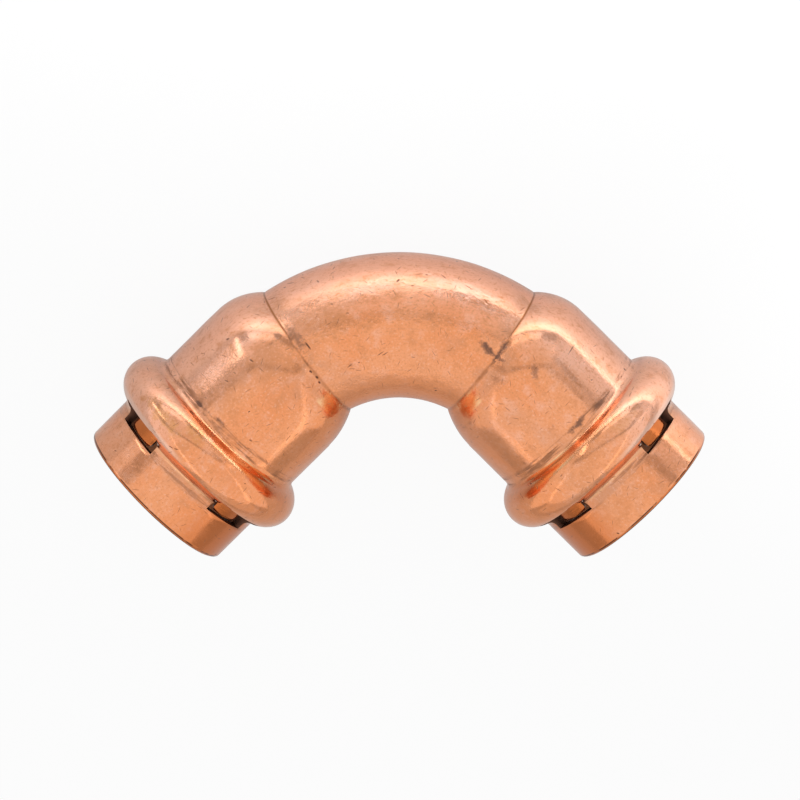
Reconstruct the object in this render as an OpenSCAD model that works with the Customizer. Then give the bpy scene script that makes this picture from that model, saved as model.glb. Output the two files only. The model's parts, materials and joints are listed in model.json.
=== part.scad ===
// Press fit elbow of 90 degrees for copper tube, with a rubber seal ring in the bead of each socket.
// The elbow lies on a table, on its two beads and on the underside of its bend.

/* [Tube and wall] */
// Outer diameter of the tube that goes into each socket
tube_d = 22; // [20:0.1:26]
// Room all round between the tube and the bore of a socket
tube_clearance = 0.15; // [0.06:0.01:0.3]
// Thickness of the copper wall
wall = 1.4; // [1.1:0.05:1.8]
// Size of the broken edges at a mouth
mouth_edge = 0.3; // [0.1:0.05:0.5]

/* [Elbow] */
// Straight length from a mouth to the start of the bend
leg_l = 24.7; // [22:0.1:29]
// Radius of the bend, at the middle of its tube
bend_r = 25; // [22:0.5:32]
// How much smaller the radius of the bent tube is than that of the sockets
bend_step = 2.15; // [1.6:0.05:2.6]
// Depth of the bore of a socket, from its mouth to where it starts to narrow
socket_depth = 23.9; // [21:0.1:26]
// Radius of the round shoulder between a socket and the bend
shoulder_r = 11.5; // [9:0.1:13]

/* [Bead] */
// Height of a bead above its socket
bead_h = 3.2; // [2.7:0.05:3.6]
// Distance from a mouth to the middle of its bead
bead_distance = 11.15; // [10:0.05:13]
// Radius of the crown of a bead
bead_arc_r = 3.55; // [3.2:0.05:4]
// Radius of the hollow at the foot of a bead
bead_foot_r = 1.15; // [0.8:0.05:1.5]

/* [Windows] */
// Number of windows round a socket
window_count = 4; // [2:1:6]
// Turn of the first window about the socket, from the side that faces up
window_turn = 45; // [0:1:90]
// Width of a window round the socket
window_w = 8.2; // [6:0.1:9]
// Distance from a mouth to the near edge of a window
window_start = 5.95; // [4.5:0.05:6.5]
// Length of a window along the socket
window_l = 2.5; // [2:0.05:2.8]

/* [Tabs] */
// Width of the tab that is bent inwards in a window
tab_w = 5; // [3:0.1:6]
// Thickness of a tab
tab_t = 0.45; // [0.3:0.05:0.6]
// Height of a tab's inner face above the bore
tab_lift = 0.05; // [0.02:0.01:0.2]
// Gap between a tab's free end and the near edge of its window
tab_gap = 0.35; // [0.2:0.05:0.6]
// Radius of the two corners at a tab's free end
tab_corner_r = 0.7; // [0.2:0.05:1]

/* [Seals] */
// How much smaller the radius of a seal ring's hole is than that of the tube
seal_squeeze = 0.05; // [0.02:0.01:0.12]
// Gap between a seal ring and the crown of its bead
seal_gap = 0.05; // [0.02:0.01:0.2]

/* [Hidden] */
$fn = 96;
LEFT = -1;
RIGHT = 1;
// What a cut runs past the face that it opens
over = 1;

// Radii of the sockets and of the bent tube
bore_r = tube_d / 2 + tube_clearance;
socket_r = bore_r + wall;
bend_tube_r = socket_r - bend_step;

// The bead's crown is an arc about a ring of this radius, and a hollow joins it to the socket on each side
bead_r = socket_r + bead_h;
bead_ring_r = bead_r - bead_arc_r;
foot_ring_r = socket_r + bead_foot_r;
bead_reach = sqrt((bead_arc_r + bead_foot_r) ^ 2 - (foot_ring_r - bead_ring_r) ^ 2);

// The seal ring fills the bead from its crown to just inside the tube's wall
seal_in_r = tube_d / 2 - seal_squeeze;
seal_out_r = bead_r - wall - seal_gap;
seal_section_r = (seal_out_r - seal_in_r) / 2;
seal_ring_r = (seal_out_r + seal_in_r) / 2;

// Windows and their tabs, along a socket from its mouth and out from its axis
window_end = window_start + window_l;
tab_in_r = bore_r + tab_lift;
tab_out_r = tab_in_r + tab_t;
tab_end = window_start + tab_gap;
tab_root = window_end - tab_t / 2;

// The elbow is drawn flat, with the crossing of its leg axes at the origin and its legs towards -Y
corner_to_mouth = leg_l + bend_r;
bend_apex = bend_r * (sqrt(2) - 1);
bead_back = (corner_to_mouth - bead_distance) / sqrt(2);
shoulder_back = (corner_to_mouth - socket_depth) / sqrt(2);

// Sine of the tilt at which a round of radius arc_r, about a ring of radius ring_r that lies back from the
// corner, comes down as low as the beads
function touch_sine(ring_r, arc_r, back) =
    let (
        ring = bead_ring_r - ring_r,
        drop = arc_r - bead_arc_r,
        run = bead_back - back,
        a = run ^ 2 + ring ^ 2 / 2
    )
    (sqrt((drop * run) ^ 2 - a * (drop ^ 2 - ring ^ 2)) - drop * run) / a;

// The elbow tips off its beads towards the bend until the bend, or else the shoulders, touch the table
bend_touch = touch_sine(0, bend_tube_r, bend_apex);
shoulder_touch = touch_sine(socket_r - shoulder_r, shoulder_r, shoulder_back);
rest_tilt = asin(min(bend_touch, shoulder_touch));
rest_height = bead_ring_r * sqrt(1 - sin(rest_tilt) ^ 2 / 2) + bead_arc_r - bead_back * sin(rest_tilt);
rest_front = bend_tube_r - bend_apex * cos(rest_tilt);
rest_rear = (corner_to_mouth - mouth_edge) / sqrt(2) * cos(rest_tilt)
    + socket_r * sqrt(1 - cos(rest_tilt) ^ 2 / 2);

// Sets the flat elbow down on the table, with the middle of its box over the origin
module at_rest() {
    translate([0, (rest_rear - rest_front) / 2, rest_height])
        rotate([-rest_tilt, 0, 0])
            children();
}

// Puts what is drawn along +Z from a mouth, with +X as the upper side, into the left or right leg
module in_leg(side) {
    mirror([side == RIGHT ? 1 : 0, 0, 0])
        translate([-corner_to_mouth / sqrt(2), -corner_to_mouth / sqrt(2), 0])
            rotate([0, -90, 225])
                children();
}

// Section of a bead on a wall of radius wall_r, with its crown and the hollows at its foot
module bead_section(wall_r, arc_r, foot_r) {
    translate([0, bead_distance]) {
        translate([bead_ring_r, 0])
            circle(arc_r);
        difference() {
            polygon([
                [wall_r / 2, -bead_reach],
                [foot_ring_r, -bead_reach],
                [bead_ring_r, 0],
                [foot_ring_r, bead_reach],
                [wall_r / 2, bead_reach]
            ]);
            for (end = [-bead_reach, bead_reach])
                translate([foot_ring_r, end])
                    circle(foot_r);
        }
    }
}

// Section of the round end of a socket of radius wall_r
module shoulder_section(wall_r, round_r) {
    translate([0, socket_depth])
        intersection() {
            square([wall_r, round_r]);
            union() {
                translate([wall_r - round_r, 0])
                    circle(round_r);
                translate([-round_r, 0])
                    square([wall_r, round_r]);
            }
        }
}

// Section of a socket: depth in from the wall's outer face is 0 for the outside and wall for the bore
module socket_section(depth) {
    square([socket_r - depth, socket_depth]);
    bead_section(socket_r - depth, bead_arc_r - depth, bead_foot_r + depth);
    shoulder_section(socket_r - depth, shoulder_r - depth);
}

// Outside of a socket, with the outer edge of its mouth broken
module socket_outside() {
    rotate_extrude()
        difference() {
            socket_section(0);
            translate([socket_r, 0])
                polygon([[-mouth_edge - over, -over], [over, -over], [over, mouth_edge + over]]);
        }
}

// Bore of a socket, opened past its mouth, with the inner edge broken
module socket_bore() {
    rotate_extrude() {
        socket_section(wall);
        polygon([
            [0, -over],
            [bore_r + mouth_edge + over, -over],
            [bore_r, mouth_edge],
            [0, mouth_edge]
        ]);
    }
}

// The bent tube, run straight back into the sockets
module bend_tube(r) {
    translate([0, -bend_r * sqrt(2), 0])
        rotate([0, 0, 45])
            rotate_extrude(angle = 90)
                translate([bend_r, 0])
                    circle(r);
    for (side = [LEFT, RIGHT])
        in_leg(side)
            translate([0, 0, bead_distance])
                cylinder(r = r, h = leg_l - bead_distance);
}

// Repeats a window's shapes round a socket
module each_window() {
    for (i = [0 : window_count - 1])
        rotate([0, 0, window_turn + i * 360 / window_count])
            children();
}

// Cut of one window through the wall at the foot of the bead
module window_cut() {
    translate([bore_r - over, -window_w / 2, window_start])
        cube([bead_r - bore_r + 2 * over, window_w, window_l]);
}

// Outline of a tab seen from outside, with round corners at its free end
module tab_outline() {
    translate([-tab_w / 2, tab_end + tab_corner_r])
        square([tab_w, window_end - tab_end]);
    translate([tab_corner_r - tab_w / 2, tab_end])
        square([tab_w - 2 * tab_corner_r, window_end - tab_end]);
    for (corner = [-1, 1])
        translate([corner * (tab_w / 2 - tab_corner_r), tab_end + tab_corner_r])
            circle(tab_corner_r);
}

// One tab: a tongue just outside the bore, with a root that rises into the flank of the bead
module tab() {
    intersection() {
        rotate_extrude()
            polygon([
                [tab_in_r, tab_end],
                [tab_out_r, tab_end],
                [tab_out_r, tab_root],
                [foot_ring_r, tab_root],
                [foot_ring_r, tab_root + tab_t],
                [tab_in_r, tab_root + tab_t]
            ]);
        translate([bore_r - over, 0, 0])
            rotate([90, 0, 90])
                linear_extrude(foot_ring_r - bore_r + 2 * over)
                    tab_outline();
    }
}

module body() {
    color("#d98e66")
        at_rest() {
            difference() {
                union() {
                    bend_tube(bend_tube_r);
                    for (side = [LEFT, RIGHT])
                        in_leg(side) socket_outside();
                }
                bend_tube(bend_tube_r - wall);
                for (side = [LEFT, RIGHT])
                    in_leg(side) {
                        socket_bore();
                        each_window() window_cut();
                    }
            }
            for (side = [LEFT, RIGHT])
                in_leg(side)
                    each_window() tab();
        }
}

// A seal ring, round in section, in the bead of one leg
module seal_ring(side) {
    color("#222222")
        at_rest()
            in_leg(side)
                translate([0, 0, bead_distance])
                    rotate_extrude()
                        translate([seal_ring_r, 0])
                            circle(seal_section_r);
}

module seal_ring_left() {
    seal_ring(LEFT);
}

module seal_ring_right() {
    seal_ring(RIGHT);
}

body();
seal_ring_left();
seal_ring_right();
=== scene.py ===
"""Copper press elbow with a rubber seal ring in each bead, shown on a plain studio floor."""

import json
import math

import bmesh
import bpy
from mathutils import Matrix, Vector


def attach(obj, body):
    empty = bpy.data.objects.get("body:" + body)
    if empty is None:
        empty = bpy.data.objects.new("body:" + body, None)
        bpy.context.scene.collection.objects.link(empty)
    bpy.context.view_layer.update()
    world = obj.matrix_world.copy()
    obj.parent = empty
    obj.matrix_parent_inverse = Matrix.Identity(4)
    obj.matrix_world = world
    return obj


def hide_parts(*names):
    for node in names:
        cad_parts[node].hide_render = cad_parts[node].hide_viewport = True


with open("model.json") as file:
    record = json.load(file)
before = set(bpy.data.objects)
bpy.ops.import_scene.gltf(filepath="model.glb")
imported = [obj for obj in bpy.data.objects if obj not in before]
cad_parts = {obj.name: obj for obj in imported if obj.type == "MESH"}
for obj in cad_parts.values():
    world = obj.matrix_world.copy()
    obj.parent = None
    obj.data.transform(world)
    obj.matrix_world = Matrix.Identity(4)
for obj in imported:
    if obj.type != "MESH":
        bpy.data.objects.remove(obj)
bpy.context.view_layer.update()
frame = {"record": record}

bl_info = {
    "name": "Copper press elbow",
    "version": (1, 0, 0),
    "blender": (4, 5, 0),
    "location": "3D View > Sidebar > Elbow",
    "description": "Models a copper press elbow, its seal rings and a plain studio around them",
    "category": "Mesh",
}

MM = 0.001
QUARTER_TURN = math.pi / 2
HALF_TURN = math.pi
FULL_TURN = 2 * math.pi
BEND_HALF = math.radians(45)

# Columns of faces round the tube, at two degrees each, so that windows and tabs end on a column
COLUMNS = 180
COLUMN_ANGLE = FULL_TURN / COLUMNS
# Slack for telling two columns apart, and two places
COLUMN_SLACK = COLUMN_ANGLE / 4
TINY = 0.02 * MM


def socket_mount(name):
    """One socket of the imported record, with its place, axis and radius."""
    for entry in frame["record"]["mounts"]:
        if entry["name"] == name:
            return entry
    raise RuntimeError("the packed record has no mount named " + name)


def elbow_frame():
    """Turns the flat elbow, with its leg axes crossing at the origin, to how it lies on the table."""
    left = socket_mount("socket_left")
    axis_left = Vector(left["axis"]).normalized()
    axis_right = Vector(socket_mount("socket_right")["axis"]).normalized()
    place = Vector(left["pos_m"])
    corner = place - axis_left * (place.x / axis_left.x)
    rightwards = (axis_right - axis_left).normalized()
    bendwards = -(axis_right + axis_left).normalized()
    upwards = rightwards.cross(bendwards)
    turn = Matrix((rightwards, bendwards, upwards)).transposed().to_4x4()
    return Matrix.Translation(corner) @ turn


BORE_R_MM = socket_mount("socket_left")["dims"]["r_mm"]


def length(name, description, value):
    """A size in metres, given in millimetres."""
    return bpy.props.FloatProperty(
        name=name, description=description, default=value * MM, unit="LENGTH", precision=5
    )


def colour(name, description, value):
    """A colour in linear light."""
    return bpy.props.FloatVectorProperty(
        name=name, description=description, default=value, subtype="COLOR", size=3, min=0, max=1
    )


def share(name, description, value):
    """A share from nothing to all."""
    return bpy.props.FloatProperty(
        name=name, description=description, default=value, min=0, max=1, subtype="FACTOR"
    )


class ElbowSizes(bpy.types.PropertyGroup):
    """Sizes of the copper body and its seal rings"""

    bore_r: length("Bore radius", "Radius of a socket's bore", BORE_R_MM)
    wall: length("Wall", "Thickness of the copper wall", 1.4)
    mouth_round: length("Mouth round", "Radius of the rounded edges at a mouth", 0.52)
    leg_l: length("Leg", "Straight length from a mouth to the bend", 24.7)
    bend_r: length("Bend radius", "Radius of the bend's middle line", 25)
    bend_step: length("Bend step", "How much smaller the bent tube is than the sockets", 2.15)
    shoulder_start: length("Shoulder start", "From a mouth to where the shoulder begins", 24.2)
    seam_depth: length("Seam depth", "Depth of the fold line at the bend", 0.05)
    seam_w: length("Seam width", "Width of the fold line at the bend", 0.2)
    bead_h: length("Bead height", "Height of a bead above its socket", 3.2)
    bead_distance: length("Bead distance", "From a mouth to the middle of its bead", 11.15)
    bead_arc_r: length("Bead crown", "Radius of the crown of a bead", 3.55)
    bead_foot_r: length("Bead foot", "Radius of the hollow at the foot of a bead", 1.15)
    window_start: length("Window start", "From a mouth to a window's near edge", 5.95)
    window_l: length("Window length", "Length of a window along the socket", 2.5)
    tab_t: length("Tab thickness", "Thickness of a tab", 0.45)
    tab_lift: length("Tab lift", "Height of a tab's inner face above the bore", 0.05)
    tab_gap: length("Tab gap", "From a window's near edge to its tab's free end", 0.22)
    tab_corner_r: length("Tab corner", "Radius of the two corners at a tab's free end", 0.7)
    dent: length("Dents", "Depth of the slow waves in the surface", 0.05)
    dent_size: length("Dent size", "Size of the slow waves in the surface", 7)
    seal_squeeze: length("Seal squeeze", "How far a seal ring would reach into the tube", 0.05)
    seal_gap: length("Seal gap", "Gap between a seal ring and the crown of its bead", 0.05)
    tube_clearance: length("Tube clearance", "Room all round between the tube and the bore", 0.15)


class CopperLook(bpy.types.PropertyGroup):
    """Colours and finish of the copper"""

    bright: colour("Bright copper", "Clean bare copper", (0.88, 0.36, 0.17))
    # Deep copper gives the random darker tone, and also the painted shade on the inner side
    deep: colour("Deep copper", "Copper that has begun to darken", (0.86, 0.315, 0.13))
    # Pale copper gives the random pale flecks, and also the painted highlights
    pale: colour("Pale copper", "Freshly rubbed copper", (0.96, 0.54, 0.40))
    golden: colour("Golden copper", "Thin yellow tarnish", (0.74, 0.34, 0.12))
    haze: colour("Haze", "Grey-brown haze of old fingerprints", (0.58, 0.29, 0.18))
    brown: colour("Browned copper", "Warm brown of handled copper", (0.66, 0.265, 0.115))
    tarnish: colour("Tarnish", "Brown tarnish in the hollows", (0.24, 0.10, 0.05))
    smear: colour("Smears", "Dirty smears at the folds", (0.15, 0.08, 0.06))
    fold: colour("Fold line", "Brown line at the fold", (0.40, 0.15, 0.06))
    # The outer colour is a painted highlight: paler pinkish copper on the outer side of the elbow
    outer: colour("Outer side", "Paler copper on the outer side of the elbow", (0.95, 0.56, 0.43))
    # The inner colour is painted shade: darker, more saturated orange on the inner side of the guide ends;
    # the lip of each mouth gets it too
    inner: colour("Inner side", "Darker orange on the inner side of the guide ends", (0.64, 0.19, 0.06))
    # The corner colour is a painted reflection: pale pinkish copper in the inner corners
    corner: colour("Corners", "Rubbed copper in the inner corners", (0.97, 0.62, 0.33))
    # The flank colour is a painted highlight: pale greyish pink on the near flank of each bead, on its outer
    # side
    flank: colour("Flanks", "Greyed copper on the flank of a bead", (0.90, 0.60, 0.47))
    # The tab colour is painted shade: darker, saturated orange for the tabs sunk in the windows
    tab: colour("Tabs", "Orange copper of the tabs in the windows", (0.56, 0.15, 0.037))
    pit: colour("Pits", "Dirt in pits and scratches", (0.04, 0.02, 0.015))
    # The bore and cut-edge colours are painted shade: dark brown copper inside the tube and on the sheared
    # edges
    inside: colour("Bore", "Dull brown copper of the bore", (0.20, 0.08, 0.04))
    cut: colour("Cut edges", "Dark sheared edges of windows and mouths", (0.12, 0.06, 0.04))
    roughness: share("Roughness", "Roughness of clean copper", 0.155)
    inside_roughness: share("Bore roughness", "Roughness of the bore", 0.5)
    cut_roughness: share("Cut roughness", "Roughness of the cut edges", 0.45)
    # How strongly the painted reflection in the inner corners shows
    corner_reflection_share: share("Corner strength", "How strongly the inner corners are rubbed", 0.7)
    hollow_share: share("Hollow strength", "How strongly tarnish fills the hollows behind the beads", 0.8)
    rib_share: share("Rib strength", "How strongly tarnish marks the feet of the beads", 0.45)
    scratch_share: share("Scratch strength", "How strongly the fine scratches show", 0.6)
    pit_share: share("Pit strength", "How strongly pits and the lines at the rims show", 0.85)


class SealLook(bpy.types.PropertyGroup):
    """Colours and finish of the seal rings"""

    rubber: colour("Rubber", "Moulded black rubber", (0.022, 0.022, 0.024))
    dust: colour("Dust", "Pale dust on the rubber", (0.10, 0.095, 0.09))
    roughness: share("Roughness", "Roughness of the rubber", 0.62)


class StageLook(bpy.types.PropertyGroup):
    """Floor, light and camera"""

    floor: colour("Floor", "Pale studio floor", (0.62, 0.62, 0.62))
    camera_distance: length("Camera distance", "From the camera to the elbow", 408.8)
    camera_lean: bpy.props.FloatProperty(
        name="Camera lean",
        description="Lean of the view from straight down towards the bend",
        default=math.radians(26.86),
        subtype="ANGLE",
    )
    lens: bpy.props.FloatProperty(name="Lens", description="Focal length", default=128.3, unit="CAMERA")


def deselect_all():
    bpy.ops.object.select_all(action="DESELECT")


def select_piece(piece):
    """Selects one piece alone and makes it the active one."""
    deselect_all()
    piece.select_set(True)
    bpy.context.view_layer.objects.active = piece


def select_only(piece, mode, wanted):
    """Selects the edges or faces for which wanted is true, and nothing else."""
    bpy.ops.mesh.select_mode(type=mode)
    bpy.ops.mesh.select_all(action="DESELECT")
    mesh = bmesh.from_edit_mesh(piece.data)
    for item in {"EDGE": mesh.edges, "FACE": mesh.faces}[mode]:
        if wanted(item):
            item.select_set(True)
    mesh.select_flush_mode()
    bmesh.update_edit_mesh(piece.data)


def apply_modifier(piece, kind, name, **settings):
    """Adds one modifier with these settings and applies it."""
    modifier = piece.modifiers.new(name, kind)
    for key, value in settings.items():
        setattr(modifier, key, value)
    bpy.context.view_layer.objects.active = piece
    bpy.ops.object.modifier_apply(modifier=modifier.name)


def place_mesh(piece, matrix):
    """Moves the piece by matrix and puts the move into its mesh."""
    select_piece(piece)
    piece.matrix_world = matrix
    bpy.ops.object.transform_apply(location=True, rotation=True, scale=True)


def socket_radius(s):
    return s.bore_r + s.wall


def corner_to_mouth(s):
    return s.leg_l + s.bend_r


def leg_frame(s):
    """Puts what is modelled along +Z from a mouth into the left leg of the flat elbow."""
    back = corner_to_mouth(s) / math.sqrt(2)
    half = math.sqrt(0.5)
    return Matrix((
        (0, half, half, -back),
        (0, -half, half, -back),
        (1, 0, 0, 0),
        (0, 0, 0, 1),
    ))


# Rings along each stretch of half the elbow's skin
GUIDE_RINGS = 8
FOOT_RINGS = 7
FLANK_RINGS = 5
CROWN_RINGS = 30
SOCKET_RINGS = 8
SHOULDER_RINGS = 14
BEND_RINGS = 20


class Ring:
    """One ring of the tube's skin: its middle, its tilt about X and its radius."""

    def __init__(self, middle, tilt, radius):
        self.middle = Vector(middle)
        self.tilt = tilt
        self.radius = radius


def steps(start, end, count):
    """Count values after start, evenly spaced, the last of them end."""
    return [start + (end - start) * i / count for i in range(1, count + 1)]


def straight_ring(distance, radius):
    return Ring((0, 0, distance), 0, radius)


def bend_ring(s, turn, tilt, radius):
    """A ring whose middle has gone round the bend by turn."""
    middle = (0, s.bend_r * (1 - math.cos(turn)), s.leg_l + s.bend_r * math.sin(turn))
    return Ring(middle, tilt, radius)


def arc_rings(middle_z, middle_r, arc_r, turns):
    """Rings along an arc of the leg's outline, at these turns from the leg's axis."""
    return [
        straight_ring(middle_z + arc_r * math.cos(turn), middle_r + arc_r * math.sin(turn)) for turn in turns
    ]


def window_end(s):
    return s.window_start + s.window_l


def window_flank_turn(s):
    """Turn on the bead's crown at which a window's far edge lies."""
    return math.acos((window_end(s) - s.bead_distance) / s.bead_arc_r)


def bead_rings(s):
    """Hollow, crown and hollow of the bead."""
    crown_r = socket_radius(s) + s.bead_h - s.bead_arc_r
    foot_r = socket_radius(s) + s.bead_foot_r
    reach = math.sqrt((s.bead_arc_r + s.bead_foot_r) ** 2 - (foot_r - crown_r) ** 2)
    join = math.atan2(foot_r - crown_r, reach)
    flank = window_flank_turn(s)
    foot_turns = [-QUARTER_TURN] + steps(-QUARTER_TURN, -join, FOOT_RINGS)
    rings = arc_rings(s.bead_distance - reach, foot_r, s.bead_foot_r, foot_turns)
    crown_turns = steps(HALF_TURN - join, flank, FLANK_RINGS) + steps(flank, join, CROWN_RINGS)
    rings += arc_rings(s.bead_distance, crown_r, s.bead_arc_r, crown_turns)
    far_turns = [-HALF_TURN - turn for turn in reversed(foot_turns[:-1])]
    rings += arc_rings(s.bead_distance + reach, foot_r, s.bead_foot_r, far_turns)
    return rings


# The shoulder narrows to the bend along a power curve, and ends in a fold line that leans with the bend
SHOULDER_POWER = 2.2
SHOULDER_TILT = math.radians(4.9)
SEAM_TURN = math.radians(13.5)
SEAM_TILT = math.radians(8.5)
# Before the leaning shoulder the socket's even rings stop short, and one more ring leads in
SOCKET_STOP = 1.6 * MM
SHOULDER_LEAD = 1.2 * MM


def shoulder_rings(s):
    """The round shoulder, from the end of the socket to the fold line."""
    bend_tube_r = socket_radius(s) - s.bend_step
    rings = [straight_ring(s.shoulder_start - SHOULDER_LEAD, socket_radius(s))]
    run = s.leg_l + s.bend_r * math.sin(SEAM_TURN) - s.shoulder_start
    for part in [0] + steps(0, 1, SHOULDER_RINGS):
        radius = socket_radius(s) - s.bend_step * part ** SHOULDER_POWER
        tilt = -(SHOULDER_TILT + (SEAM_TILT - SHOULDER_TILT) * part)
        along = s.shoulder_start + run * part
        if along <= s.leg_l:
            rings.append(Ring((0, 0, along), tilt, radius))
        else:
            rings.append(bend_ring(s, math.asin((along - s.leg_l) / s.bend_r), tilt, radius))
    rings[-1].radius = bend_tube_r - s.seam_depth
    return rings


def half_bend_rings(s):
    """The bent tube, from the fold line to the middle of the bend."""
    bend_tube_r = socket_radius(s) - s.bend_step
    seam_step = s.seam_w / s.bend_r
    turns = [SEAM_TURN + seam_step, SEAM_TURN + 2 * seam_step]
    turns += steps(turns[-1], BEND_HALF, BEND_RINGS)
    rings = []
    for turn in turns:
        part = (turn - SEAM_TURN) / (BEND_HALF - SEAM_TURN)
        tilt = -(SEAM_TILT + (BEND_HALF - SEAM_TILT) * part)
        rings.append(bend_ring(s, turn, tilt, bend_tube_r))
    return rings


def skin_rings(s):
    """All rings of half the elbow's outer skin, from a mouth to the middle of the bend."""
    guide = [0] + steps(0, s.window_start, GUIDE_RINGS)
    rings = [straight_ring(distance, socket_radius(s)) for distance in guide]
    rings += bead_rings(s)
    bead_end = rings[-1].middle.z
    for distance in steps(bead_end, s.shoulder_start - SOCKET_STOP, SOCKET_RINGS):
        rings.append(straight_ring(distance, socket_radius(s)))
    return rings + shoulder_rings(s) + half_bend_rings(s)


def push_ring(old, new):
    """Extrudes the selected ring on to the next one."""
    bpy.ops.mesh.extrude_edges_move(TRANSFORM_OT_translate={"value": new.middle - old.middle})
    turn = new.tilt - old.tilt
    if turn:
        bpy.ops.transform.rotate(
            value=-turn, orient_axis="X", orient_type="GLOBAL", center_override=new.middle
        )
    grow = new.radius / old.radius
    bpy.ops.transform.resize(value=(grow, grow, grow), center_override=new.middle)


# Windows round a socket: how many, where the first is, and the half angles of a window and of its tab
WINDOW_COUNT = 4
WINDOW_TURN = math.radians(45)
WINDOW_HALF = math.radians(19)
TAB_HALF = math.radians(12)


def window_turns():
    return [WINDOW_TURN + FULL_TURN * i / WINDOW_COUNT for i in range(WINDOW_COUNT)]


def angle_from(place, turn):
    """Angle round the leg's axis from turn, between minus and plus half a turn."""
    around = math.atan2(place.y, place.x) - turn
    return (around + HALF_TURN) % FULL_TURN - HALF_TURN


def cut_windows(piece, s):
    """Deletes the faces of the windows at the foot of the bead."""

    def in_window(face):
        middle = face.calc_center_median()
        if not s.window_start < middle.z < window_end(s):
            return False
        return any(abs(angle_from(middle, turn)) < WINDOW_HALF for turn in window_turns())

    select_only(piece, "FACE", in_window)
    bpy.ops.mesh.delete(type="FACE")


TAB_CORNER_STEPS = 6
# Bend at a tab's root, in mm: how far each row lies from the window's far edge, and above the tab
TAB_ROOT = ((0.08, 1.9), (0.14, 0.5), (0.22, 0.2), (0.4, 0.04), (0.7, 0))


def tab_rows(s):
    """Rows of one tab from the bead's flank to its free end: distance, radius and share of its width."""
    tab_r = s.bore_r + s.tab_lift + s.tab_t
    free_end = s.window_start + s.tab_gap
    half_w = tab_r * math.sin(TAB_HALF)
    rows = [(window_end(s) - back * MM, tab_r + rise * MM, 1) for back, rise in TAB_ROOT]
    rows.append((free_end + s.tab_corner_r, tab_r, 1))
    for turn in steps(0, QUARTER_TURN, TAB_CORNER_STEPS):
        distance = free_end + s.tab_corner_r * (1 - math.sin(turn))
        narrow = s.tab_corner_r * (1 - math.cos(turn))
        rows.append((distance, tab_r, 1 - narrow / half_w))
    return rows


def bend_tab(piece, s, turn):
    """Extrudes one tab from the far edge of its window, down to the bore and back towards the mouth."""
    root_z = window_end(s)
    flank_r = socket_radius(s) + s.bead_h - s.bead_arc_r * (1 - math.sin(window_flank_turn(s)))
    reach = TAB_HALF + COLUMN_SLACK

    def at_root(edge):
        middle = (edge.verts[0].co + edge.verts[1].co) / 2
        on_row = all(abs(vert.co.z - root_z) < TINY for vert in edge.verts)
        return edge.is_boundary and on_row and abs(angle_from(middle, turn)) < reach

    select_only(piece, "EDGE", at_root)
    outwards = Vector((math.cos(turn), math.sin(turn), 0))
    sideways = Vector((-math.sin(turn), math.cos(turn), 0))
    window_axes = Matrix((outwards, sideways, Vector((0, 0, 1)))).transposed()
    old_z, old_r, old_share = root_z, flank_r, 1
    for distance, radius, part in tab_rows(s):
        bpy.ops.mesh.extrude_edges_move(TRANSFORM_OT_translate={"value": (0, 0, distance - old_z)})
        shrink = radius / old_r
        bpy.ops.transform.resize(value=(shrink, shrink, 1), center_override=(0, 0, distance))
        bpy.ops.transform.resize(
            value=(1, part / old_share, 1),
            orient_type="GLOBAL",
            orient_matrix=window_axes,
            orient_matrix_type="GLOBAL",
            center_override=outwards * radius,
        )
        old_z, old_r, old_share = distance, radius, part


def model_half_skin(s):
    """Outer skin of the left leg and half the bend, along +Z from the mouth, with windows and tabs."""
    deselect_all()
    rings = skin_rings(s)
    bpy.ops.mesh.primitive_circle_add(vertices=COLUMNS, radius=rings[0].radius, location=rings[0].middle)
    piece = bpy.context.active_object
    bpy.ops.object.mode_set(mode="EDIT")
    bpy.ops.mesh.select_mode(type="EDGE")
    bpy.ops.mesh.select_all(action="SELECT")
    for old, new in zip(rings, rings[1:]):
        push_ring(old, new)
    cut_windows(piece, s)
    for turn in window_turns():
        bend_tab(piece, s, turn)
    bpy.ops.object.mode_set(mode="OBJECT")
    return piece


def thin_tabs(piece, s):
    """Weights by which the wall gets its thickness: all of it, or a tab's share."""
    weights = piece.vertex_groups.new(name="wall")
    start = s.window_start + TINY
    end = window_end(s) - TINY
    half = WINDOW_HALF - COLUMN_SLACK
    for vert in piece.data.vertices:
        near = any(abs(angle_from(vert.co, turn)) < half for turn in window_turns())
        on_tab = near and start < vert.co.z < end
        weights.add([vert.index], s.tab_t / s.wall if on_tab else 1, "REPLACE")


# Edges sharper than the first angle are rounded, and those flatter than the second look smooth
SHARP_ANGLE = math.radians(50)
SMOOTH_ANGLE = math.radians(35)
EDGE_ROUND = 0.06 * MM
EDGE_SEGMENTS = 2
MOUTH_SEGMENTS = 4
WAVE_DETAIL = 2


def mouth_distance(s, place):
    """Distance of a place on the flat elbow from the plane of the nearer mouth."""
    return corner_to_mouth(s) - (abs(place.x) - place.y) / math.sqrt(2)


def face_outwards(piece):
    """Merges doubles and turns all faces outwards."""
    select_piece(piece)
    bpy.ops.object.mode_set(mode="EDIT")
    bpy.ops.mesh.select_all(action="SELECT")
    bpy.ops.mesh.remove_doubles(threshold=TINY / 10)
    bpy.ops.mesh.normals_make_consistent(inside=False)
    bpy.ops.object.mode_set(mode="OBJECT")


def round_mouths(piece, s):
    """Rounds the outer and inner edge of both mouths."""
    bpy.ops.object.mode_set(mode="EDIT")

    def on_mouth(edge):
        flat = all(abs(mouth_distance(s, vert.co)) < TINY for vert in edge.verts)
        return flat and edge.is_manifold and edge.calc_face_angle() > SHARP_ANGLE

    select_only(piece, "EDGE", on_mouth)
    bpy.ops.mesh.bevel(offset=s.mouth_round, segments=MOUTH_SEGMENTS, affect="EDGES")
    bpy.ops.object.mode_set(mode="OBJECT")


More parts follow.
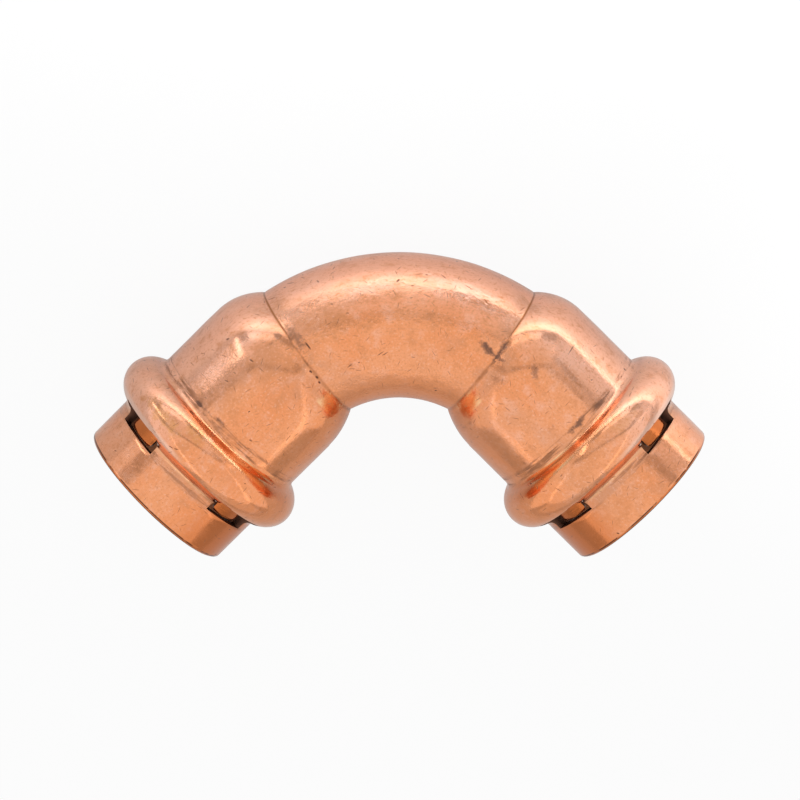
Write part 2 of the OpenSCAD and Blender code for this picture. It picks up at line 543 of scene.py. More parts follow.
def straightened(s, place):
    """Where a place on the flat elbow lies once the tube is made straight along X, outer side +Y."""
    from_bend = Vector((place.x, place.y + s.bend_r * math.sqrt(2)))
    turn = math.atan2(from_bend.x, from_bend.y)
    if abs(turn) <= BEND_HALF:
        return Vector((s.bend_r * turn, from_bend.length - s.bend_r, place.z))
    along = (abs(place.x) - place.y) / math.sqrt(2)
    across = (abs(place.x) + place.y) / math.sqrt(2)
    distance = s.bend_r * BEND_HALF + along - s.bend_r
    return Vector((math.copysign(distance, place.x), across, place.z))


def mark_surface(piece, s):
    """Keeps on each vertex its place on the straightened tube and its distance from the fold line."""
    seam = bend_ring(s, SEAM_TURN, SEAM_TILT, 0)
    seam_axis = Vector((0, math.sin(SEAM_TILT), math.cos(SEAM_TILT)))
    into_leg = leg_frame(s).inverted()
    straight = []
    fold = []
    for vert in piece.data.vertices:
        straight.extend(straightened(s, vert.co))
        left_twin = Vector((-abs(vert.co.x), vert.co.y, vert.co.z))
        fold.append((into_leg @ left_twin - seam.middle).dot(seam_axis))
    piece.data.attributes.new("straight", "FLOAT_VECTOR", "POINT").data.foreach_set("vector", straight)
    piece.data.attributes.new("fold", "FLOAT", "POINT").data.foreach_set("value", fold)


def model_body(s, finishes):
    """The copper body in its place on the table, with finishes for its skin, bore and cut edges."""
    piece = model_half_skin(s)
    for finish in finishes:
        piece.data.materials.append(finish)
    piece.name = "copper_body"
    piece.data.name = "copper_body"
    thin_tabs(piece, s)
    place_mesh(piece, leg_frame(s))
    apply_modifier(piece, "MIRROR", "other leg", merge_threshold=TINY)
    face_outwards(piece)
    waves = bpy.data.textures.new("slow waves", "CLOUDS")
    waves.noise_scale = s.dent_size
    waves.noise_depth = WAVE_DETAIL
    apply_modifier(piece, "DISPLACE", "dents", texture=waves, strength=s.dent, mid_level=1)
    apply_modifier(
        piece, "SOLIDIFY", "wall", thickness=s.wall, offset=-1, use_even_offset=True,
        use_quality_normals=True, vertex_group="wall", material_offset=1, material_offset_rim=2,
    )
    round_mouths(piece, s)
    apply_modifier(
        piece, "BEVEL", "broken edges", width=EDGE_ROUND, segments=EDGE_SEGMENTS,
        limit_method="ANGLE", angle_limit=SHARP_ANGLE,
    )
    select_piece(piece)
    bpy.ops.object.shade_smooth_by_angle(angle=SMOOTH_ANGLE)
    mark_surface(piece, s)
    place_mesh(piece, elbow_frame())
    return piece


class Bench:
    """Adds nodes to one material and joins them."""

    def __init__(self, name):
        self.material = bpy.data.materials.new(name)
        self.material.use_nodes = True
        self.tree = self.material.node_tree
        self.tree.nodes.clear()

    def node(self, kind, inputs=None, **settings):
        node = self.tree.nodes.new(kind)
        for key, value in settings.items():
            setattr(node, key, value)
        for key, value in (inputs or {}).items():
            if isinstance(value, bpy.types.NodeSocket):
                self.tree.links.new(value, node.inputs[key])
            else:
                node.inputs[key].default_value = value
        return node

    def attribute(self, name, output):
        return self.node("ShaderNodeAttribute", attribute_name=name).outputs[output]

    def object_place(self):
        return self.node("ShaderNodeTexCoord").outputs["Object"]

    def math(self, operation, value, *others):
        """The values put together by one operation, from the first to the last."""
        for other in others:
            value = self.node("ShaderNodeMath", {0: value, 1: other}, operation=operation).outputs[0]
        return value

    def times(self, *values):
        return self.math("MULTIPLY", *values)

    def most(self, *values):
        return self.math("MAXIMUM", *values)

    def absolute(self, value):
        return self.node("ShaderNodeMath", {0: value}, operation="ABSOLUTE").outputs[0]

    def length(self, vector):
        return self.node("ShaderNodeVectorMath", {0: vector}, operation="LENGTH").outputs["Value"]

    def ramp(self, value, low, high, bottom=0.0, top=1.0):
        """A smooth step from bottom at low to top at high."""
        inputs = {"Value": value, "From Min": low, "From Max": high, "To Min": bottom, "To Max": top}
        return self.node("ShaderNodeMapRange", inputs, interpolation_type="SMOOTHSTEP").outputs[0]

    def ramp_mm(self, value, low, high, bottom=0.0, top=1.0):
        """A smooth step of a distance, with low and high in mm."""
        return self.ramp(value, low * MM, high * MM, bottom, top)

    def zone(self, value, band):
        """A band that is full from its start to its end and fades to both sides, all in mm."""
        start, end, fade = band
        rise = self.ramp_mm(value, start - fade, start)
        fall = self.ramp_mm(value, end, end + fade, 1, 0)
        return self.times(rise, fall)

    def mapping(self, vector, scale=(1, 1, 1), turn=(0, 0, 0), move=(0, 0, 0), kind="POINT"):
        inputs = {"Vector": vector, "Location": move, "Rotation": turn, "Scale": scale}
        return self.node("ShaderNodeMapping", inputs, vector_type=kind).outputs[0]

    def noise(self, vector, per_mm, detail=2.0, roughness=0.5):
        """A cloudy pattern with this many features in a mm."""
        inputs = {"Vector": vector, "Scale": per_mm / MM, "Detail": detail, "Roughness": roughness}
        return self.node("ShaderNodeTexNoise", inputs).outputs["Fac"]

    def mix(self, share, a, b):
        """Colour a, turning to colour b by share."""
        a, b = (tint if isinstance(tint, bpy.types.NodeSocket) else (*tint, 1) for tint in (a, b))
        return self.node("ShaderNodeMix", {0: share, 6: a, 7: b}, data_type="RGBA").outputs[2]

    def bump(self, height, distance, strength=1.0):
        inputs = {"Height": height, "Distance": distance, "Strength": strength}
        return self.node("ShaderNodeBump", inputs).outputs[0]

    def finish(self, shader):
        output = self.node("ShaderNodeOutputMaterial")
        self.tree.links.new(shader.outputs[0], output.inputs["Surface"])
        return self.material


# Depth of a mark, so large that only its place along and across the tube counts
MARK_DEPTH = 1


class Mark:
    """One mark on the side that faces up, in mm: its place along the tube and towards the outer side."""

    def __init__(self, along, outwards, turn, length, width, strength=1.0):
        self.place = (along * MM, outwards * MM, 0)
        self.turn = math.radians(turn)
        self.half_size = (length * MM / 2, width * MM / 2, MARK_DEPTH)
        self.strength = strength


# Pits and scratches that this elbow has got in use
NICKS = (
    Mark(-12.4, 1.7, -81, 1.7, 0.3),
    Mark(-13.9, -1.6, -80, 0.6, 0.4),
    Mark(-13.6, -2.8, -78, 0.7, 0.36),
    Mark(-13.7, -3.6, -85, 0.6, 0.36),
    Mark(-35.0, 4.4, -71, 0.9, 0.16),
    Mark(-34.6, 3.7, -51, 0.8, 0.16),
    Mark(-19.0, 4.8, -77, 0.8, 0.3, 0.8),
    Mark(-21.8, 5.2, -68, 0.7, 0.22, 0.7),
    Mark(-23.4, 5.2, -70, 0.9, 0.26, 0.8),
    Mark(-27.2, 5.6, -80, 0.6, 0.22, 0.7),
    Mark(-26.9, -3.0, -75, 0.7, 0.3, 0.7),
    Mark(-2.9, -2.5, 26, 1.6, 0.14, 0.8),
    Mark(-2.2, -2.6, 26, 1.4, 0.14, 0.8),
    Mark(-8.1, -3.3, 19, 1.3, 0.15, 0.8),
    Mark(2.2, -3.1, -6, 0.8, 0.18, 0.6),
    Mark(4.7, 8.3, -33, 1.0, 0.18, 0.7),
    Mark(-7.8, 5.6, -30, 0.5, 0.24, 0.7),
    Mark(-6.3, 3.9, -15, 0.5, 0.22, 0.7),
    Mark(-6.5, -3.2, 10, 0.5, 0.22, 0.7),
    Mark(1.4, 5.1, 0, 0.5, 0.22, 0.5),
    Mark(-8.6, 8.9, -60, 0.5, 0.24, 0.7),
    Mark(20.5, 8.1, 97, 1.8, 0.17),
)
# Dirty smears at the folds and in the hollows beside the beads
SMEARS = (
    Mark(12.8, 1.1, -12, 5.6, 1.5, 0.9),
    Mark(13.9, 1.5, 87, 5.2, 1.4, 0.9),
    Mark(18.8, 2.6, -50, 2.8, 1.2, 0.5),
    Mark(-13.2, 3.2, -86, 5.0, 2.0, 0.6),
    Mark(-15.0, 5.1, 20, 2.4, 1.4, 0.6),
    Mark(-28.4, 5.2, 96, 5.4, 0.8, 0.9),
    Mark(-27.9, 1.9, 92, 4.0, 0.7, 0.7),
    Mark(28.2, 1.5, 90, 4.0, 1.2, 0.8),
    Mark(28.4, 5.9, 90, 3.6, 0.9, 0.6),
)
# Patches that have gone brown, and some that have gone yellow
BROWNED = (
    Mark(20.2, 4.5, 0, 14, 9, 0.2),
    Mark(-17.0, 3.0, 0, 9, 10, 0.5),
    Mark(-8.5, 3.2, -20, 12, 5, 0.5),
    Mark(31.5, -1.0, 90, 16, 7, 0.45),
    Mark(40.0, -1.0, 90, 18, 9, 0.4),
    Mark(-25.0, 3.5, 0, 9, 5, 0.4),
)
YELLOWED = (
    Mark(-32.9, 7.8, 90, 9, 2.8, 0.6),
    Mark(-31.2, 3.6, 80, 5, 2.4, 0.5),
    Mark(32.3, 6.4, 90, 6, 2.2, 0.3),
)
# Pale patches painted as highlights along the bright bands of the bend and the sockets
PAINTED_HIGHLIGHTS = (
    Mark(7.6, 7.2, -5, 11, 3.4, 0.75),
    Mark(-3.6, 6.6, 0, 10, 3.0, 0.6),
    Mark(-17.0, 7.4, 0, 6, 2.6, 0.5),
    Mark(-24.0, 7.5, 0, 7, 2.6, 0.4),
    Mark(21.0, 7.0, 0, 10, 4.4, 0.55),
)

# Bands of the finish, in mm from a mouth: start, end and how far they fade
RIM = (0.36, 0.46, 0.1)
GUIDE_FOOT = (5.9, 7.4, 0.4)
BEAD_FOOT = (7.2, 8.3, 0.4)
NEAR_FLANK = (8.5, 9.0, 0.5)
FAR_FLANK = (13.8, 14.8, 0.3)
VALLEY = (15.4, 16.2, 0.7)
# Bands of the inner corner at the fold: past the fold line, and outwards from the tube's axis
BY_FOLD = (-2.0, -0.2, 0.3)
INNER_CORNER = (-8.2, -6.0, 0.9)
# Share of a mark's half size at which it starts to fade
NICK_CORE = 0.4
PATCH_CORE = 0.1
STROKE_CORE = 0.5
# The shortest random stroke, as a share of the longest, and how softly strokes are picked
SHORTEST_STROKE = 0.45
CHANCE_FADE = 0.01
# What haze, the bend and dirt add to the roughness of clean copper
HAZE_ROUGHNESS = 0.12
BEND_ROUGHNESS = 0.05
DIRT_ROUGHNESS = 0.2
# How strongly haze darkens the feet of the beads as painted shade, and how strongly painted reflection makes
# them paler
FOOT_PAINTED_SHADE = 0.4
FOOT_PAINTED_REFLECTION = 0.3
# How much lighter dull copper is in patches, and how far roughness swings there and on the rubber
LIGHTER_PATCH = 1.7
DULL_SWING = 0.08
RUBBER_SWING = 0.1
# Depth of fine relief on the bore, the cut edges and the rubber
FINE_RELIEF = 0.02 * MM


class Skin:
    """Where a point of the copper lies, for the patterns that follow the tube."""

    def __init__(self, bench, s):
        self.bench = bench
        self.straight = bench.attribute("straight", "Vector")
        along, outwards, upwards = bench.node("ShaderNodeSeparateXYZ", {0: self.straight}).outputs
        self.outwards = outwards
        self.upwards = upwards
        tube_end = s.leg_l + s.bend_r * BEND_HALF
        self.from_mouth = bench.math("SUBTRACT", tube_end, bench.absolute(along))
        self.past_fold = bench.attribute("fold", "Fac")
        self.fold = bench.absolute(self.past_fold)
        self.radius = bench.length(bench.node("ShaderNodeCombineXYZ", {1: outwards, 2: upwards}).outputs[0])

    def noise(self, per_mm, detail, roughness, stretch=(1, 1, 1), shift=(0, 0, 0)):
        """A cloudy pattern on the straightened tube, stretched by these scales and shifted."""
        place = self.bench.mapping(self.straight, stretch, move=shift)
        return self.bench.noise(place, per_mm, detail, roughness)


class Patterns:
    """The cloudy patterns of the finish, by features in a mm, detail and roughness."""

    def __init__(self, bench, skin):
        round_the_tube = (1, 0.09, 0.09)
        along_the_tube = (0.05, 1, 1)
        self.cloud = skin.noise(0.095, 5, 0.6, stretch=(0.55, 1, 1))
        self.mottle = skin.noise(0.42, 4, 0.65)
        self.grain = skin.noise(2.8, 3, 0.6)
        self.fog = skin.noise(0.075, 6, 0.62, stretch=(0.6, 1, 1), shift=(3, 1, 2))
        self.patches = skin.noise(0.21, 6, 0.65, shift=(7, 4, 5))
        self.round_streaks = skin.noise(1.5, 3, 0.6, stretch=round_the_tube, shift=(1, 6, 2))
        self.long_streaks = skin.noise(1.3, 3, 0.6, stretch=along_the_tube, shift=(4, 2, 8))
        ragged = skin.noise(0.8, 4, 0.7, shift=(2, 9, 4))
        self.ragged = bench.ramp(ragged, 0.25, 0.75, bottom=-0.55, top=0.55)


def listed_marks(bench, skin, marks, core, ragged=0.0):
    """How strongly the marks of a list show on the side that faces up, with ragged edges."""
    shown = []
    for mark in marks:
        local = bench.mapping(skin.straight, mark.half_size, (0, 0, mark.turn), mark.place, "TEXTURE")
        distance = bench.math("ADD", bench.length(local), ragged)
        shown.append(bench.ramp(distance, core, 1, bottom=mark.strength, top=0))
    return bench.times(bench.most(*shown), bench.ramp_mm(skin.upwards, 1, 2))


def random_strokes(bench, skin, spacing, length, width, kept):
    """Short strokes that lie every way, one in each cell of this spacing, of which a share is kept."""
    cells = bench.node("ShaderNodeTexVoronoi", {
        "Vector": skin.straight, "Scale": 1 / (spacing * MM), "Randomness": 1,
    })
    chance, turn, size = bench.node("ShaderNodeSeparateXYZ", {0: cells.outputs["Color"]}).outputs
    from_middle = bench.node("ShaderNodeVectorMath", {
        0: skin.straight, 1: cells.outputs["Position"],
    }, operation="SUBTRACT").outputs[0]
    turned = bench.node("ShaderNodeVectorRotate", {
        "Vector": from_middle, "Angle": bench.times(turn, FULL_TURN),
    }, rotation_type="Z_AXIS").outputs[0]
    local = bench.mapping(turned, (length * MM / 2, width * MM / 2, length * MM / 2), kind="TEXTURE")
    reach = bench.ramp(size, 0, 1, bottom=SHORTEST_STROKE)
    shape = bench.ramp(bench.math("DIVIDE", bench.length(local), reach), STROKE_CORE, 1, bottom=1, top=0)
    return bench.times(shape, bench.ramp(chance, 1 - kept, 1 + CHANCE_FADE - kept))


class Wear:
    """How strongly the marks that the copper has got in use show, and the painted highlights."""

    def __init__(self, bench, skin, ragged):
        specks = random_strokes(bench, skin, spacing=1.5, length=0.75, width=0.26, kept=0.08)
        self.pits = bench.most(listed_marks(bench, skin, NICKS, NICK_CORE), specks)
        self.scratches = random_strokes(bench, skin, spacing=1.1, length=1.4, width=0.14, kept=0.5)
        # rubbed holds the painted highlights, not wear
        self.smears, self.browned, self.yellowed, self.rubbed = (
            listed_marks(bench, skin, marks, PATCH_CORE, ragged)
            for marks in (SMEARS, BROWNED, YELLOWED, PAINTED_HIGHLIGHTS)
        )


def fold_line(bench, skin, patches):
    """The brown line at the fold: crisp towards the outer side, rubbed away midway, broad inside."""
    crisp = bench.times(bench.ramp_mm(skin.fold, 0.04, 0.19, 1, 0), bench.ramp_mm(skin.outwards, 3.6, 5.6))
    broad = bench.times(
        bench.ramp_mm(skin.fold, 0.05, 0.42, 1, 0),
        bench.ramp_mm(skin.outwards, 0, -2),
        bench.ramp(patches, 0.35, 0.6, bottom=0.35, top=0.85),
    )
    faint = bench.times(
        bench.ramp_mm(skin.fold, 0.05, 0.25, 1, 0), bench.ramp(patches, 0.4, 0.6, bottom=0.4, top=0.8)
    )
    return bench.most(crisp, broad, faint)


def painted_corner_reflections(bench, skin):
    """Painted reflection in the upper inner corners, where copper faces copper: paler copper at the fold,
    behind the bead and at its foot.
    """
    by_fold = bench.times(bench.zone(skin.past_fold, BY_FOLD), bench.zone(skin.outwards, INNER_CORNER))
    by_bead = bench.times(
        bench.zone(skin.from_mouth, FAR_FLANK),
        bench.ramp_mm(skin.outwards, -1, -4, bottom=0.08),
        bench.ramp_mm(skin.outwards, -9.5, -8.5),
    )
    # Painted reflection at the foot of the bead
    by_foot = bench.times(bench.zone(skin.from_mouth, BEAD_FOOT), FOOT_PAINTED_REFLECTION)
    return bench.times(bench.most(by_fold, by_bead, by_foot), bench.ramp_mm(skin.upwards, 1, 3))


class Places:
    """How strongly each part of the elbow shows a finish of its own, or painted highlights, shade and
    reflections.
    """

    def __init__(self, bench, skin, patterns):
        mouth = skin.from_mouth
        out = skin.outwards
        streaks = patterns.round_streaks
        patches = patterns.patches
        guide = bench.ramp_mm(mouth, 7, 8, 1, 0)
        inner_side = bench.ramp_mm(out, -4, -9)
        smudges = bench.times(bench.ramp_mm(skin.fold, 0.4, 4, 0.6, 0), bench.ramp(patches, 0.42, 0.62))
        self.on_bend = bench.ramp_mm(mouth, 30, 32)
        # The lip of each mouth gets the darker orange of the painted shade
        self.lip = bench.ramp_mm(mouth, 0.3, 0.5, 1, 0)
        self.foot = bench.zone(mouth, GUIDE_FOOT)
        # Painted highlight: the outer side turns paler, less so on the guide ends
        self.outer_painted_highlight = bench.times(bench.ramp_mm(out, 2, 9, top=0.55), bench.ramp(guide, 0, 1, 1, 0.4))
        # Painted shade: the inner side turns to deep copper, most of all on the bend
        self.inner_painted_shade = bench.times(inner_side, bench.ramp(self.on_bend, 0, 1, bottom=0.35, top=0.85))
        self.shaded_guide = bench.times(guide, bench.ramp_mm(out, -3, -8.5, top=0.9))
        # Painted highlight on the near flank of each bead
        self.flank = bench.times(bench.zone(mouth, NEAR_FLANK), bench.ramp_mm(out, 1, 5, top=0.6))
        streaked = bench.times(bench.zone(mouth, VALLEY), bench.ramp(streaks, 0.44, 0.6))
        self.hollow = bench.times(streaked, bench.ramp(patches, 0.36, 0.58))
        self.ribs = bench.times(self.foot, bench.ramp(streaks, 0.5, 0.62))
        self.rim_line = bench.times(bench.zone(mouth, RIM), bench.ramp(patches, 0.44, 0.54))
        self.dull = bench.most(bench.ramp(patterns.fog, 0.5, 0.66, top=0.45), smudges)
        # Painted shade on the tabs in the windows
        self.on_tab = bench.times(
            bench.ramp_mm(skin.radius, 12.0, 12.2, bottom=0.95, top=0), bench.ramp_mm(mouth, 9, 10, 1, 0)
        )
        # Painted reflection in the inner corners
        self.corners = painted_corner_reflections(bench, skin)
        self.fold_line = fold_line(bench, skin, patches)


def copper_tint(bench, look, patterns, places, wear):
    """Colour of the copper: clean metal under layers of haze, tarnish and dirt, and of painted highlights,
    shade and reflections, each with its share.
    """
    layers = (
        # Painted highlight on the outer side
        (places.outer_painted_highlight, look.outer),
        (bench.ramp(patterns.mottle, 0.5, 0.72, top=0.4), look.pale),
        (bench.ramp(patterns.mottle, 0.3, 0.48, bottom=0.6, top=0), look.brown),
        (places.dull, look.haze),
        (wear.browned, look.brown),
        # Painted shade: haze darkens the foot band
        (bench.times(places.foot, FOOT_PAINTED_SHADE), look.haze),
        (wear.yellowed, look.golden),
        # Painted highlights in pale copper
        (wear.rubbed, look.pale),
        (bench.ramp(patterns.long_streaks, 0.56, 0.7, top=0.15), look.haze),
        (bench.ramp(patterns.grain, 0.3, 0.48, bottom=0.6, top=0), look.brown),
        (bench.ramp(patterns.grain, 0.54, 0.74, top=0.42), look.pale),
        # Painted shade on the inner side
        (places.inner_painted_shade, look.deep),
        # Painted reflection in the inner corners
        (bench.times(places.corners, look.corner_reflection_share), look.corner),
        # Painted highlight on the near flanks
        (places.flank, look.flank),
        # Painted shade on the inner side of the guide ends, and the same darker orange on the lips
        (places.shaded_guide, look.inner),
        (places.lip, look.inner),
        (bench.ramp(patterns.patches, 0.64, 0.78, top=0.5), look.tarnish),
        (bench.times(places.hollow, look.hollow_share), look.tarnish),
        (bench.times(places.ribs, look.rib_share), look.tarnish),
        (places.fold_line, look.fold),
        # Painted shade on the tabs
        (places.on_tab, look.tab),
        (wear.smears, look.smear),
        (bench.times(wear.scratches, look.scratch_share), look.tarnish),
        (bench.times(places.rim_line, look.pit_share), look.pit),
        (bench.times(wear.pits, look.pit_share), look.pit),
    )
    tint = bench.mix(bench.ramp(patterns.cloud, 0.42, 0.62), look.bright, look.deep)
    for layer, paint in layers:
        tint = bench.mix(layer, tint, paint)
    return tint


def copper_roughness(bench, look, patterns, places, wear):
    """Roughness of the copper: more of it in haze, on the bend and under dirt."""
    return bench.math(
        "ADD",
        look.roughness,
        bench.ramp(patterns.mottle, 0.3, 0.7, bottom=-0.04, top=0.04),
        bench.times(places.dull, HAZE_ROUGHNESS),
        bench.times(places.on_bend, BEND_ROUGHNESS),
        bench.times(bench.most(places.hollow, wear.smears), DIRT_ROUGHNESS),
    )


def copper_relief(bench, patterns, places, wear):
    """Fine relief of the copper, in mm: uneven metal, most of all on the bend, with ribs and scratches."""
    heights = (
        (patterns.cloud, bench.ramp(places.on_bend, 0, 1, bottom=0.1, top=0.2)),
        (patterns.mottle, bench.ramp(places.on_bend, 0, 1, bottom=0.02, top=0.13)),
        (patterns.grain, bench.ramp(places.on_bend, 0, 1, bottom=0.004, top=0.018)),
        (places.ribs, -0.02),
        (wear.scratches, -0.012),
        (wear.pits, -0.03),
    )
    return bench.math("ADD", *(bench.times(pattern, height) for pattern, height in heights))


def copper_material(look, s):
    """Bare copper with slow changes of tone, haze, scratches, pits and brown tarnish in the hollows, with
    painted highlights on the outer side and painted shade on the inner side.
    """
    bench = Bench("copper")
    skin = Skin(bench, s)
    patterns = Patterns(bench, skin)
    places = Places(bench, skin, patterns)
    wear = Wear(bench, skin, patterns.ragged)
    relief = copper_relief(bench, patterns, places, wear)
    shader = bench.node("ShaderNodeBsdfPrincipled", {
        "Base Color": copper_tint(bench, look, patterns, places, wear),
        "Metallic": 1.0,
        "Roughness": copper_roughness(bench, look, patterns, places, wear),
        "Normal": bench.bump(relief, MM),
    })
    return bench.finish(shader)


def dull_copper_material(name, tint, rough):
    """Copper of the bore and of the cut edges, darkened as painted shade, with lighter patches."""
    bench = Bench(name)
    place = bench.object_place()
    patches = bench.noise(place, 0.26, detail=5, roughness=0.6)
    lighter = [min(1, LIGHTER_PATCH * part) for part in tint]
    shader = bench.node("ShaderNodeBsdfPrincipled", {
        "Base Color": bench.mix(bench.ramp(patches, 0.4, 0.7), tint, lighter),
        "Metallic": 1.0,
        "Roughness": bench.ramp(patches, 0.3, 0.7, rough - DULL_SWING, rough + DULL_SWING),
        "Normal": bench.bump(bench.noise(place, 1.8, detail=3), FINE_RELIEF),
    })
    return bench.finish(shader)


def rubber_material(look):
    """Moulded black rubber with a fine grain and a little pale dust."""
    bench = Bench("seal_rubber")
    place = bench.object_place()
    dust = bench.ramp(bench.noise(place, 0.9, detail=4), 0.5, 0.75, top=0.6)
    grain = bench.noise(place, 5.2)
    rough = look.roughness
    shader = bench.node("ShaderNodeBsdfPrincipled", {
        "Base Color": bench.mix(dust, look.rubber, look.dust),
        "Roughness": bench.ramp(grain, 0.3, 0.7, rough - RUBBER_SWING, rough + RUBBER_SWING),
        "Normal": bench.bump(grain, FINE_RELIEF, strength=0.5),
    })
    return bench.finish(shader)


def dress(piece):
    """Makes a finished piece part of the elbow."""
    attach(piece, "root")


SEAL_TURNS = 160
SEAL_SIDES = 40
# Width and height of the line where the mould closed
FLASH_W = 0.12 * MM
FLASH_H = 0.03 * MM


def model_seal(s):
    """A seal ring in the bead of a leg along +Z, with the fine line where its mould closed."""
    outer_r = socket_radius(s) + s.bead_h - s.wall - s.seal_gap - FLASH_H
    inner_r = s.bore_r - s.tube_clearance - s.seal_squeeze + FLASH_H
    section_r = (outer_r - inner_r) / 2
    deselect_all()
    bpy.ops.mesh.primitive_torus_add(
        location=(0, 0, s.bead_distance), major_segments=SEAL_TURNS, minor_segments=SEAL_SIDES,
        major_radius=(outer_r + inner_r) / 2, minor_radius=section_r,
    )
    piece = bpy.context.active_object
    bpy.ops.object.transform_apply(location=True, rotation=True, scale=True)
    bpy.ops.object.mode_set(mode="EDIT")

    def on_equator(edge):
        return all(abs(vert.co.z - s.bead_distance) < TINY for vert in edge.verts)

    select_only(piece, "EDGE", on_equator)
    bpy.ops.mesh.bevel(offset=FLASH_W / 2, segments=2, affect="EDGES")
    select_only(piece, "EDGE", on_equator)
    bpy.ops.transform.shrink_fatten(value=FLASH_H)
    bpy.ops.object.mode_set(mode="OBJECT")
    bpy.ops.object.shade_smooth()
    return piece


class ELBOW_OT_body(bpy.types.Operator):
    """Model the copper body with its beads, windows and tabs"""

    bl_idname = "elbow.body"
    bl_label = "Copper Body"

    def execute(self, context):
        s = context.scene.elbow_sizes
        look = context.scene.elbow_copper
        piece = model_body(s, [
            copper_material(look, s),
            # The bore and the cut edges are darkened as painted shade
            dull_copper_material("copper_bore_painted_shade", look.inside, look.inside_roughness),
            dull_copper_material("copper_cut_painted_shade", look.cut, look.cut_roughness),
        ])
        dress(piece)
        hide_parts("body")
        return {"FINISHED"}


class ELBOW_OT_seals(bpy.types.Operator):
    """Model the two rubber seal rings"""

    bl_idname = "elbow.seals"
    bl_label = "Seal Rings"

    def execute(self, context):
        s = context.scene.elbow_sizes
        rubber = rubber_material(context.scene.elbow_seal)
        other_leg = Matrix.Scale(-1, 4, (1, 0, 0))
        for side, into_place in (("left", Matrix.Identity(4)), ("right", other_leg)):
            piece = model_seal(s)
            piece.name = "rubber_ring_" + side
            piece.data.name = piece.name
            place_mesh(piece, elbow_frame() @ into_place @ leg_frame(s))
            face_outwards(piece)
            piece.data.materials.append(rubber)
            dress(piece)
            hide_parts("seal_ring_" + side)
        return {"FINISHED"}


WHITE = (1, 1, 1, 1)
WORLD_STRENGTH = 0.55
FLOOR_SIZE = 4.0
# Room that keeps the floor's plane clear of the elbow
FLOOR_GAP = 0.02 * MM
# Share of plain white in the floor, as the camera sees it and as the copper mirrors it
FLOOR_GLOW = 0.93
MIRRORED_GLOW = 0.15
# The point that the camera and most of the lamps look at
VIEW_MIDDLE = Vector((0.00011, 0.000783, 0.013662))


def floor_material(look):
    """Pale floor that looks white and keeps the shadow."""
    bench = Bench("studio_floor")
    rays = bench.node("ShaderNodeLightPath")
    mirrored = bench.most(rays.outputs["Is Glossy Ray"], rays.outputs["Is Transmission Ray"])
    mirrored = bench.times(mirrored, MIRRORED_GLOW)
    seen = bench.times(rays.outputs["Is Camera Ray"], FLOOR_GLOW)
    paint = bench.node("ShaderNodeBsdfDiffuse", {"Color": (*look.floor, 1)})
    white = bench.node("ShaderNodeEmission", {"Color": WHITE, "Strength": 1})
    both = bench.node("ShaderNodeMixShader", {
        0: bench.most(seen, mirrored), 1: paint.outputs[0], 2: white.outputs[0],
    })
    return bench.finish(both)


def add_floor(look):
    deselect_all()
    bpy.ops.mesh.primitive_plane_add(size=FLOOR_SIZE, location=(0, 0, -FLOOR_GAP))
    floor = bpy.context.active_object
    floor.name = "studio_floor"
    floor.data.materials.append(floor_material(look))
    return floor


class Softbox:
    """A soft rectangular lamp, as bright as level times a white card, aimed at a point."""

    def __init__(self, name, place, size, level, aim=VIEW_MIDDLE, spread=180):
        self.name = name
        self.place = Vector(place)
        self.size = size
        self.level = level
        self.aim = Vector(aim)
        self.spread = math.radians(spread)

    def add(self):
        """Puts the lamp in its place and gives it back."""
        bpy.ops.object.light_add(type="AREA", location=self.place)
        lamp = bpy.context.active_object
        lamp.name = self.name
        lamp.data.shape = "RECTANGLE"
        lamp.data.size, lamp.data.size_y = self.size
        lamp.data.energy = self.level * math.pi * self.size[0] * self.size[1]
        lamp.data.spread = self.spread
        lamp.visible_camera = False
        lamp.rotation_euler = (self.aim - self.place).to_track_quat("-Z", "Y").to_euler()
        return lamp


SOFTBOXES = (
    Softbox("top_softbox", (0.0, -0.35, 0.9), (2.2, 2.1), 0.44, (0.0, -0.35, 0.0)),
    Softbox("left_softbox", (-1.0, -0.15, 0.42), (1.6, 0.85), 0.45),
    Softbox("right_softbox", (1.0, -0.15, 0.42), (1.6, 0.85), 0.45),
    Softbox("back_softbox", (0.0, 1.0, 0.55), (1.8, 0.75), 0.38),
    Softbox("front_softbox", (0.0, -1.2, 0.5), (1.6, 0.6), 0.2),
    Softbox("back_strip", (-0.09, 0.8, 0.08), (0.6, 0.16), 0.9),
    Softbox("left_strip", (-0.43, 0.42, 0.12), (0.04, 0.3), 2.1),
    Softbox("left_back_softbox", (-0.71, 0.55, 0.16), (0.4, 0.3), 0.32),
    Softbox("right_back_softbox", (0.71, 0.55, 0.2), (0.45, 0.4), 0.3),
)
# These light the floor behind the elbow and beside it, and not the elbow itself
FLOOR_SOFTBOXES = (
    Softbox("floor_softbox", (0.11, 0.15, 0.1), (0.36, 0.16), 3.3, (0.11, 0.15, 0.0), 85),
    Softbox("right_floor_softbox", (0.085, 0.01, 0.06), (0.05, 0.06), 1.6, (0.085, 0.01, 0.0), 85),
)


def light_only(lamp, lit):
    """Makes the lamp light one object alone."""
    receivers = bpy.data.collections.new(lamp.name + "_lights")
    receivers.objects.link(lit)
    lamp.light_linking.receiver_collection = receivers


def set_world():
    world = bpy.data.worlds.new("studio")
    bpy.context.scene.world = world
    world.use_nodes = True
    background = world.node_tree.nodes["Background"]
    background.inputs["Color"].default_value = WHITE
    background.inputs["Strength"].default_value = WORLD_STRENGTH


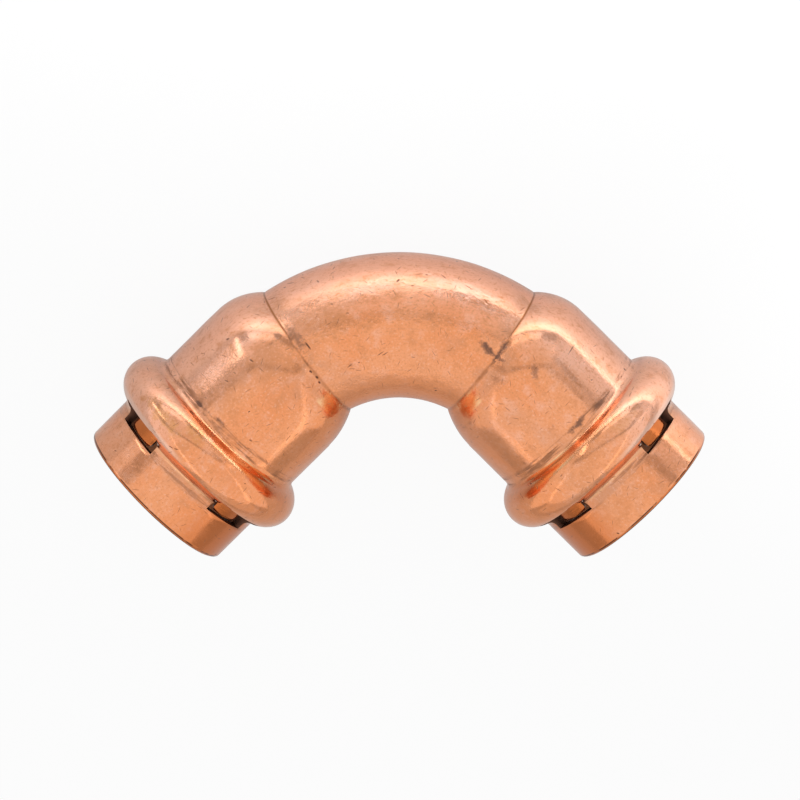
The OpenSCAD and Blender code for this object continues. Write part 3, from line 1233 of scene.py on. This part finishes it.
def add_camera(look):
    """A view from above, leaning towards the bend, with the bend at the top."""
    lean = look.camera_lean
    back = Vector((0, math.sin(lean), math.cos(lean))) * look.camera_distance
    bpy.ops.object.camera_add(location=VIEW_MIDDLE + back, rotation=(-lean, 0, 0))
    camera = bpy.context.active_object
    camera.data.lens = look.lens
    bpy.context.scene.camera = camera


class ELBOW_OT_stage(bpy.types.Operator):
    """Add the floor, the soft lamps and the camera"""

    bl_idname = "elbow.stage"
    bl_label = "Studio"

    def execute(self, context):
        look = context.scene.elbow_stage
        context.scene.view_settings.view_transform = "Standard"
        set_world()
        floor = add_floor(look)
        for softbox in SOFTBOXES:
            softbox.add()
        for softbox in FLOOR_SOFTBOXES:
            light_only(softbox.add(), floor)
        add_camera(look)
        return {"FINISHED"}


class ELBOW_PT_panel(bpy.types.Panel):
    """Sizes, colours and pieces of the elbow"""

    bl_idname = "ELBOW_PT_panel"
    bl_label = "Copper Press Elbow"
    bl_space_type = "VIEW_3D"
    bl_region_type = "UI"
    bl_category = "Elbow"

    def draw(self, context):
        layout = self.layout
        for operator in PIECE_OPERATORS:
            layout.operator(operator.bl_idname)
        for group, _ in SETTINGS:
            settings = getattr(context.scene, group)
            box = layout.box()
            for key in settings.bl_rna.properties.keys():
                if key not in {"rna_type", "name"}:
                    box.prop(settings, key)


PIECE_OPERATORS = (ELBOW_OT_body, ELBOW_OT_seals, ELBOW_OT_stage)
SETTINGS = (
    ("elbow_sizes", ElbowSizes),
    ("elbow_copper", CopperLook),
    ("elbow_seal", SealLook),
    ("elbow_stage", StageLook),
)


def register():
    for name, kind in SETTINGS:
        bpy.utils.register_class(kind)
        setattr(bpy.types.Scene, name, bpy.props.PointerProperty(type=kind))
    for kind in PIECE_OPERATORS:
        bpy.utils.register_class(kind)
    bpy.utils.register_class(ELBOW_PT_panel)


def unregister():
    bpy.utils.unregister_class(ELBOW_PT_panel)
    for kind in reversed(PIECE_OPERATORS):
        bpy.utils.unregister_class(kind)
    for name, kind in reversed(SETTINGS):
        delattr(bpy.types.Scene, name)
        bpy.utils.unregister_class(kind)


def main():
    register()
    bpy.ops.elbow.body()
    bpy.ops.elbow.seals()
    bpy.ops.elbow.stage()


if __name__ == "__main__":
    main()
